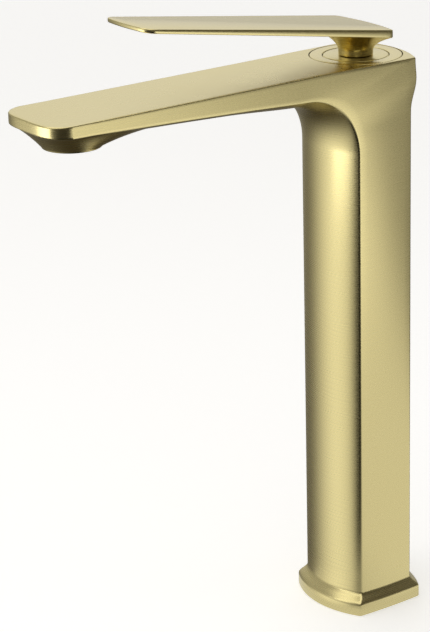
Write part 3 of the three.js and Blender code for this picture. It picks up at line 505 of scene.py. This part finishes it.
def spout_loops():
    loops = []
    for y in np.linspace(FILLET_Y, OUTLET_Y, 30)[1:]:
        low, high = spout_curves(np.full(len(ACROSS), y))
        loops.append(station_loop(low, high, 0, 0.6, 0.5))
    front = tip_front()
    edge = 0.7
    for w in np.linspace(0, 1, 15)[1:]:
        low, high = spout_curves(OUTLET_Y - (front - edge) * w)
        loops.append(station_loop(low, high, 0, 0.6, 0.5))
    for turn in (20, 40, 60, 75, 90):
        a = math.radians(turn)
        low, high = spout_curves(OUTLET_Y - front + edge * (1 - math.sin(a)), edge * (1 - math.cos(a)))
        left = max(0.02, 0.5 * math.cos(a))
        loops.append(station_loop(low, high, 0, left, left))
    return loops


def body_piece():
    levels = [(0.0, 0.35), (0.12, 0.12), (0.35, 0.0), (2.5, 0.0), (RIM_HEIGHT, 0.0)]
    levels += [(RIM_HEIGHT + FLARE_HEIGHT * i / 12, 0.0) for i in range(1, 13)]
    levels += [(z, 0.0) for z in np.linspace(20, FILLET_Z, 12)]
    loops = [column_loop(z, inset) for z, inset in levels] + head_loops() + spout_loops()
    count = len(loops[0])
    points = [p for loop in loops for p in loop]
    faces = [tuple(range(count))[::-1]] + skin(len(loops), count)
    # The front band of the tip is a grid between the last loop's upper and lower curves.
    last = (len(loops) - 1) * count
    columns = LOW_POINTS - 1
    side = TURN_POINTS + SIDE_POINTS + TURN_POINTS
    low_ids = [last + i for i in range(LOW_POINTS)]
    right_ids = [last + i for i in range(columns, columns + side + 2)]
    high_start = LOW_POINTS + side
    high_ids = [last + high_start + i for i in range(LOW_POINTS)][::-1]
    left_ids = [last + high_start + columns + i for i in range(side + 1)] + [last]
    left_ids = left_ids[::-1]
    rows = len(right_ids)
    grid = []
    for r in range(rows):
        if r == 0:
            grid.append(low_ids)
            continue
        if r == rows - 1:
            grid.append(high_ids)
            continue
        row = [left_ids[r]]
        rise = points[right_ids[r]][2] - points[right_ids[0]][2]
        height = rise / (points[right_ids[-1]][2] - points[right_ids[0]][2])
        for c in range(1, columns):
            a, b = np.array(points[low_ids[c]]), np.array(points[high_ids[c]])
            points.append(a * (1 - height) + b * height)
            row.append(len(points) - 1)
        row.append(right_ids[r])
        grid.append(row)
    for r in range(rows - 1):
        for c in range(columns):
            faces.append((grid[r][c], grid[r][c + 1], grid[r + 1][c + 1], grid[r + 1][c]))
    piece = new_object("body_skin", points, faces, gold_across)
    tidy_mesh(piece)
    cut(
        piece,
        prism("plate_recess_cutter", column_section(PLATE_RECESS["inset"]), -1, PLATE_RECESS["depth"]),
        prism("hollow_cutter", column_section(COLUMN_WALL), 1, SEAT_Z - SEAT_BLOCK),
        round_prism("ring_recess_cutter", RECESS_RADIUS, 0, 0, cap_low[2] - 0.3, TOP + 5, 160),
        round_prism(
            "nut_recess_cutter", NUT_RECESS["radius"], 0, 0,
            TOP - NUT_RECESS["depth"], TOP, 96,
        ),
        round_prism("cartridge_bore_cutter", CARTRIDGE_BORE, 0, 0, SEAT_Z, TOP - 5, 96),
        round_prism(
            "aerator_socket_cutter", SOCKET_RADIUS, 0, OUTLET_Y,
            OUTLET_Z - 5, OUTLET_Z + AERATOR_SOCKET_DEPTH, 96,
        ),
    )
    shade(piece, 35)
    return piece


def tip_reach(turn, half, front):
    """Distance from the outlet's axis to the tip's rounded outline in one direction."""
    c, s = abs(math.cos(turn)), abs(math.sin(turn))
    return ((c / half) ** 4 + (s / front) ** 4) ** -0.25


def boss_piece():
    """The flared boss under the tip, from its round lip out to the spout's lower edge."""
    sides, steps = 160, 24
    loops = []
    inner = SOCKET_RADIUS + 0.02
    for r, rise in ((inner, 8.0), (inner, 0.3), (inner + 0.1, 0.08), (inner + 0.35, 0.0)):
        loops.append([(r, 0, OUTLET_Z + rise)] * sides)
    lip = 0.5
    for turn in (0, 30, 60, 90):
        a = math.radians(turn)
        r = OUTLET_RADIUS - lip + lip * math.sin(a)
        loops.append([(r, 0, OUTLET_Z + lip * (1 - math.cos(a)))] * sides)
    rings = []
    for loop in loops:
        ring = []
        for j, (r, _, z) in enumerate(loop):
            turn = 2 * math.pi * j / sides
            ring.append((r * math.cos(turn), OUTLET_Y + r * math.sin(turn), z))
        rings.append(ring)
    for i in range(1, steps + 1):
        s = i / steps
        rise = 1 - (1 - s) ** 1.3
        ring = []
        for j in range(sides):
            turn = 2 * math.pi * j / sides
            behind = math.sin(turn) > 0
            half, front = SPOUT_HALF - 0.15, TIP_LENGTH - 0.15
            if behind:
                reach = 1 / math.hypot(math.cos(turn) / half, math.sin(turn) / BOSS_RUN)
            else:
                reach = tip_reach(turn, half, front)
            r = mix(OUTLET_RADIUS, reach, s)
            x, y = r * math.cos(turn), OUTLET_Y + r * math.sin(turn)
            under = lower_edge(y) - float(arc_height(x, SPOUT_HALF, under_bow(y)))
            ring.append((x, y, mix(OUTLET_Z + lip, under + 0.2, rise)))
        rings.append(ring)
    rings.append([(x, y, z + 1) for x, y, z in rings[-1]])
    points = [p for ring in rings for p in ring]
    return new_object("outlet_boss", points, skin(len(rings), sides, flip=True), gold_across, 40)


body_skin = body_piece()
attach(body_skin, "fixed_body")
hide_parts("body")
boss = boss_piece()
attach(boss, "fixed_body")


# ---- Cap ring and ball cap ----------------------------------------------------------------------
SOCKET_SPHERE = math.hypot(CAP_OPENING, PIVOT_DEPTH)
BALL_SPHERE = SOCKET_SPHERE - BALL_GAP


def sphere_points(radius, z_from, z_to, steps=24):
    return [(math.sqrt(radius ** 2 - (z - PIVOT_Z) ** 2), z) for z in np.linspace(z_from, z_to, steps)]


def corner_points(r, z, radius, toward_r, toward_z, steps=4):
    """A quarter round at an outer corner, turning from the z direction to the r direction."""
    points = []
    for i in range(steps + 1):
        a = math.pi / 2 * i / steps
        across = toward_r * radius * (1 - math.cos(a))
        points.append((r + across, z + toward_z * radius * (1 - math.sin(a))))
    return points


def cap_ring_piece():
    """The trim ring: a ball-shaped opening inside, an o-ring groove outside."""
    bottom = cap_low[2]
    outer = CAP_RADIUS - SEAM_GAP
    groove = outer - RING_GROOVE["depth"]
    groove_bottom, groove_top = TOP - RING_GROOVE["bottom"], TOP - RING_GROOVE["top"]
    profile = sphere_points(SOCKET_SPHERE, TOP - TRIM_EDGE, bottom)
    profile += [(outer, bottom), (outer, groove_bottom), (groove, groove_bottom)]
    profile += [(groove, groove_top), (outer, groove_top)]
    profile += corner_points(outer, TOP, TRIM_EDGE, -1, -1)
    profile += corner_points(CAP_OPENING, TOP, TRIM_EDGE, 1, -1)[::-1]
    return lathe("cap_ring_fine", profile, gold_trim, 192)


def ball_cap_piece():
    """The dome with its flat top. Its skirt is deep in front, where lifting uncovers it."""
    inner = BALL_SPHERE - BALL_SKIN
    under = TOP - BALL_ROOF
    skirt = ball_low[2] - SKIRT_DROP
    rim = math.sqrt(BALL_SPHERE ** 2 - PIVOT_DEPTH ** 2)
    profile = [(BALL_BORE, under)] + sphere_points(inner, under, skirt)
    profile += sphere_points(BALL_SPHERE, skirt, TOP - 0.25)
    profile += corner_points(rim, TOP, TRIM_EDGE, -1, -1)[1:]
    profile += [(BALL_BORE, TOP)]
    piece = lathe("ball_cap_fine", profile, gold_trim, 192)
    slant = prism("slant", [(-40, -60), (40, -60), (40, 60), (-40, 60)], -40, 0)
    turn = Matrix.Rotation(SKIRT_SLANT, 4, "X")
    slant.data.transform(Matrix.Translation(Vector((0, -BALL_SPHERE, ball_low[2])) * MM) @ turn)
    cut(piece, slant)
    shade(piece)
    return piece


cap_ring = cap_ring_piece()
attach(cap_ring, "fixed_body")
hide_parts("cap_ring")
ball_cap = ball_cap_piece()
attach(ball_cap, "lever_assembly")
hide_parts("ball_cap")


# ---- Lever --------------------------------------------------------------------------------------
def lever_top(y):
    return TOP + LEVER_RISE - math.tan(LEVER_TILT) * y


def lever_thickness(y):
    return mix(LEVER_THICK, LEVER_TIP_THICK, (LEVER_BACK - y) / (LEVER_BACK + LEVER_LENGTH))


def lever_under(y):
    return lever_top(y) - lever_thickness(y)


def quadratic(a, b, c, steps):
    """Points on a curve from a to c that bends towards b, without its last point."""
    t = np.linspace(0, 1, steps, endpoint=False)[:, None]
    a, b, c = (np.array(p, float) for p in (a, b, c))
    return list((1 - t) ** 2 * a + 2 * t * (1 - t) * b + t * t * c)


def lever_outline():
    """Plan of the plate, anticlockwise from above, starting at the back left corner."""
    back, tip = LEVER_BACK, -LEVER_LENGTH
    wide, slim = LEVER_BACK_HALF, LEVER_TIP_HALF
    middle, halfway = mix(wide, slim, 0.5), mix(back - 6, tip + 7, 0.5)
    points = quadratic((-wide + 2.2, back - 2.6), (0, back + 2.6), (wide - 2.2, back - 2.6), 40)
    points += quadratic((wide - 2.2, back - 2.6), (wide, back - 3.4), (wide, back - 6), 10)
    points += quadratic((wide, back - 6), (middle, halfway), (slim + 0.1, tip + 7), 60)
    points += quadratic((slim + 0.1, tip + 7), (slim - 0.2, tip + 2.4), (slim - 4.5, tip + 1.2), 14)
    points += quadratic((slim - 4.5, tip + 1.2), (0, tip - 1), (-slim + 4.5, tip + 1.2), 30)
    points += quadratic((-slim + 4.5, tip + 1.2), (-slim + 0.2, tip + 2.4), (-slim - 0.1, tip + 7), 14)
    points += quadratic((-slim - 0.1, tip + 7), (-middle, halfway), (-wide, back - 6), 60)
    points += quadratic((-wide, back - 6), (-wide, back - 3.4), (-wide + 2.2, back - 2.6), 10)
    return np.array(points)[::-1]


def inset_outline(outline, distance):
    """The outline moved inwards by a distance."""
    after, before = np.roll(outline, -1, axis=0), np.roll(outline, 1, axis=0)
    along = after - before
    along /= np.linalg.norm(along, axis=1)[:, None]
    return outline + np.stack([-along[:, 1], along[:, 0]], axis=1) * distance


def lever_plate():
    outline = lever_outline()
    edge = 0.45
    rings = []
    for turn in (90, 60, 30, 0):
        a = math.radians(turn)
        flat = inset_outline(outline, edge * (1 - math.cos(a)))
        rings.append([(x, y, lever_top(y) - edge * (1 - math.sin(a))) for x, y in flat])
    for turn in (0, 30, 60, 90):
        a = math.radians(turn)
        flat = inset_outline(outline, edge * (1 - math.cos(a)))
        rings.append([(x, y, lever_under(y) + edge * (1 - math.sin(a))) for x, y in flat])
    count = len(outline)
    points = [p for ring in rings for p in ring]
    faces = [tuple(range(count)), tuple(range((len(rings) - 1) * count, len(rings) * count))[::-1]]
    faces += skin(len(rings), count, flip=True)
    piece = new_object("lever_plate", points, faces, gold_spout)
    tidy_mesh(piece)
    shade(piece, 40)
    return piece


def lever_stem():
    """Round stem with a parabolic flare under the tilted plate, and its socket for the spindle."""
    sides, steps = 128, 28
    foot = TOP + 0.3
    rings = []
    heights = [(-4.5, 6.0), (-0.35, 6.0), (-0.34, 6.0), (0.0, 7.7), (0.08, 7.92), (0.3, STEM_RADIUS)]
    for h, r in heights:
        turns = [2 * math.pi * j / sides for j in range(sides)]
        rings.append([(r * math.cos(turn), r * math.sin(turn), foot + h) for turn in turns])
    rise = lever_under(0) + STEM_SINK - foot
    for i in range(steps + 1):
        share = math.sin(i / steps * math.pi / 2)
        height = (STEM_COLLAR + (rise - STEM_COLLAR) * share) / rise
        ring = []
        for turn in turns:
            r = STEM_RADIUS + STEM_FLARE * share ** 2 * (1 + STEM_SPREAD * math.cos(turn) ** 2)
            x, y = r * math.cos(turn), r * math.sin(turn)
            roof = lever_under(y) + STEM_SINK - foot
            ring.append((x, y, foot + height * roof))
        rings.append(ring)
    points = [p for ring in rings for p in ring]
    faces = [tuple(range(sides))[::-1], tuple(range((len(rings) - 1) * sides, len(rings) * sides))]
    faces += skin(len(rings), sides)
    piece = new_object("lever_stem", points, faces, gold_trim)
    tidy_mesh(piece)
    keep = prism("keep", [tuple(p) for p in inset_outline(lever_outline(), 0.2)], TOP - 10, TOP + 60)
    modifier = piece.modifiers.new("keep", "BOOLEAN")
    modifier.operation = "INTERSECT"
    modifier.solver = "EXACT"
    modifier.object = keep
    apply_modifiers(piece)
    bpy.data.objects.remove(keep)
    half = SPINDLE_SOCKET["half"]
    square = [(-half, -half), (half, -half), (half, half), (-half, half)]
    bore = round_prism("bore", SCREW_BORE["radius"], 0, 0, 0, 20, 48)
    lift = Matrix.Translation(Vector((0, 0, TOP + SCREW_BORE["height"])) * MM)
    bore.data.transform(lift @ Matrix.Rotation(-math.pi / 2, 4, "X"))
    cut(piece, prism("socket", square, TOP - 20, TOP + SPINDLE_SOCKET["top"]), bore)
    shade(piece, 35)
    return piece


plate = lever_plate()
stem = lever_stem()
for piece in (plate, stem):
    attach(piece, "lever_assembly")
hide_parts("lever")


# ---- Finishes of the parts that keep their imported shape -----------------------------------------
FINISH = {
    "brushed_gold": gold_trim,
    "plain_brass": plain_brass,
    "stainless_steel": stainless,
    "white_plastic": white_plastic,
    "grey_plastic": grey_plastic,
    "ceramic": ceramic,
    "black_rubber": rubber,
}
for entry in frame["record"]["subparts"]:
    part = frame["nodes"].get(entry["node"])
    if part is None:
        continue
    for material_slot in part.material_slots:
        material_slot.material = FINISH[entry["material_slot"]]


# ---- Room: pale floor, soft boxes and a studio surround -----------------------------------------
def make_floor():
    """Matt white paper, wide enough to meet the backdrop."""
    mesh = bpy.data.meshes.new("floor")
    size = 20.0
    corners = [(-size, -size, 0), (size, -size, 0), (size, size, 0), (-size, size, 0)]
    mesh.from_pydata(corners, [], [(0, 1, 2, 3)])
    floor = bpy.data.objects.new("floor", mesh)
    bpy.context.collection.objects.link(floor)
    material, tree, shader = new_material("matt_white_paper")
    place = add_node(tree, "ShaderNodeTexCoord").outputs["Object"]
    fibre = add_node(tree, "ShaderNodeTexNoise", {"Vector": place}, Scale=900.0, Detail=3.0)
    tone = add_node(tree, "ShaderNodeMix", {0: fibre.outputs["Fac"]}, data_type="RGBA")
    tone.inputs[6].default_value = linear("f4f3f0")
    tone.inputs[7].default_value = linear("fbfaf8")
    tree.links.new(tone.outputs[2], shader.inputs["Base Color"])
    shader.inputs["Roughness"].default_value = 0.9
    shader.inputs["Emission Color"].default_value = (1, 1, 1, 1)
    # The soft box lights only the middle, so the paper is given more light of its own further out.
    away = add_node(tree, "ShaderNodeVectorMath", {0: place}, operation="LENGTH")
    glow = add_node(
        tree, "ShaderNodeMapRange", {"Value": away.outputs["Value"]},
        interpolation_type="SMOOTHSTEP", From_Min=0.3, From_Max=3.5, To_Min=0.4, To_Max=0.8,
    )
    tree.links.new(glow.outputs[0], shader.inputs["Emission Strength"])
    mesh.materials.append(material)
    floor.visible_glossy = False


def glow_sheet(name, x, y, z):
    """A lit card on the table that only the metal sees."""
    mesh = bpy.data.meshes.new(name)
    corners = [(x[0], y[0], 0), (x[1], y[0], 0), (x[1], y[1], 0), (x[0], y[1], 0)]
    mesh.from_pydata(corners, [], [(0, 1, 2, 3)])
    sheet = bpy.data.objects.new(name, mesh)
    sheet.location = (0, 0, z)
    bpy.context.collection.objects.link(sheet)
    material, tree, shader = new_material("lit_white_card")
    shader.inputs["Base Color"].default_value = (0, 0, 0, 1)
    shader.inputs["Emission Color"].default_value = (1, 1, 1, 1)
    mesh.materials.append(material)
    sheet.visible_camera = False
    sheet.visible_diffuse = False
    sheet.visible_shadow = False
    return tree, shader


def table_glow():
    """The bright table to the right of the object, strongest close by and to its front."""
    tree, shader = glow_sheet("table_glow", (0.02, 1.5), (-1.2, 1.2), -0.001)
    place = add_node(tree, "ShaderNodeTexCoord").outputs["Object"]
    across = add_node(tree, "ShaderNodeVectorMath", {0: place}, operation="DOT_PRODUCT")
    across.inputs[1].default_value = (-0.25, 1, 0)
    apart = add_node(tree, "ShaderNodeSeparateXYZ", {0: place})
    # It fades to the back right, and right under the object, and stops in front of it.
    fades = [
        (across.outputs["Value"], 0.17, 0.33, 1.35, 0.35),
        (apart.outputs["X"], 0.3, 0.6, 0.6, 1.0),
        (apart.outputs["Y"], -0.12, 0.04, 0.0, 1.0),
    ]
    glow = None
    for value, start, end, low, high in fades:
        fade = add_node(
            tree, "ShaderNodeMapRange", {"Value": value},
            interpolation_type="SMOOTHSTEP", From_Min=start, From_Max=end, To_Min=low, To_Max=high,
        )
        if glow is None:
            glow = fade
        else:
            both = {0: glow.outputs[0], 1: fade.outputs[0]}
            glow = add_node(tree, "ShaderNodeMath", both, operation="MULTIPLY")
    tree.links.new(glow.outputs[0], shader.inputs["Emission Strength"])


def rim_glow():
    """The light that the table throws up at the foot's rim."""
    shader = glow_sheet("rim_glow", (-0.035, 0.035), (-0.035, 0.035), -0.0005)[1]
    shader.inputs["Emission Strength"].default_value = 0.7


def soft_box(name, place, target, size, watts):
    """A soft rectangular lamp that the camera doesn't see."""
    data = bpy.data.lights.new(name, "AREA")
    data.shape = "RECTANGLE"
    data.size, data.size_y = size
    data.energy = watts
    lamp = bpy.data.objects.new(name, data)
    aim = (Vector(target) - Vector(place)).to_track_quat("-Z", "Y")
    lamp.matrix_world = Matrix.Translation(place) @ aim.to_matrix().to_4x4()
    lamp.visible_camera = False
    bpy.context.collection.objects.link(lamp)


def make_surround():
    """Soft bright fields of light in a dim room, as directions from the middle of the set."""
    world = bpy.data.worlds.new("studio")
    world.use_nodes = True
    bpy.context.scene.world = world
    tree = world.node_tree
    tree.nodes.clear()
    output = tree.nodes.new("ShaderNodeOutputWorld")
    direction = add_node(tree, "ShaderNodeTexCoord").outputs["Generated"]
    fields = [
        ((-0.77, 0.54, 0.34), 5.0, 0.86),
        ((0.3, 0.95, 0.2), 3.0, 0.1),
        ((-0.4, -0.865, -0.3), 4.6, 1.12),
        ((0.8, -0.57, 0.15), 5.0, 0.1),
        ((-0.7, -0.35, 0.6), 5.0, 0.3),
    ]
    total = None
    for aim, power, strength in fields:
        length = math.sqrt(sum(c * c for c in aim))
        dot = add_node(tree, "ShaderNodeVectorMath", {0: direction}, operation="DOT_PRODUCT")
        dot.inputs[1].default_value = [c / length for c in aim]
        front = add_node(tree, "ShaderNodeMath", {0: dot.outputs["Value"]}, operation="MAXIMUM")
        front.inputs[1].default_value = 0.0
        lobe = add_node(tree, "ShaderNodeMath", {0: front.outputs[0]}, operation="POWER")
        lobe.inputs[1].default_value = power
        bright = add_node(tree, "ShaderNodeMath", {0: lobe.outputs[0]}, operation="MULTIPLY")
        bright.inputs[1].default_value = strength
        if total is None:
            total = bright
        else:
            both = {0: total.outputs[0], 1: bright.outputs[0]}
            total = add_node(tree, "ShaderNodeMath", both, operation="ADD")
    # The dim part of the room is warm, and the fields are neutral white.
    room = add_node(tree, "ShaderNodeMix", {0: total.outputs[0]}, data_type="RGBA", clamp_factor=False)
    room.inputs[6].default_value = (0.05, 0.042, 0.028, 1)
    room.inputs[7].default_value = (1, 1, 1, 1)
    seen = add_node(tree, "ShaderNodeLightPath").outputs["Is Camera Ray"]
    backdrop = add_node(tree, "ShaderNodeMix", {0: seen, 6: room.outputs[2]}, data_type="RGBA")
    backdrop.inputs[7].default_value = (1, 1, 1, 1)
    background = add_node(tree, "ShaderNodeBackground", {"Color": backdrop.outputs[2]}, Strength=1.0)
    tree.links.new(background.outputs[0], output.inputs["Surface"])


make_floor()
make_surround()
table_glow()
rim_glow()
soft_box("overhead", (0.1, -0.35, 1.6), (0, -0.05, 0.1), (2.4, 2.4), 20)
soft_box("tip_card", (-0.06, -0.33, 0.2), (0, -0.17, 0.26), (0.16, 0.14), 0.1)
view = bpy.context.scene.view_settings
view.view_transform = "Standard"
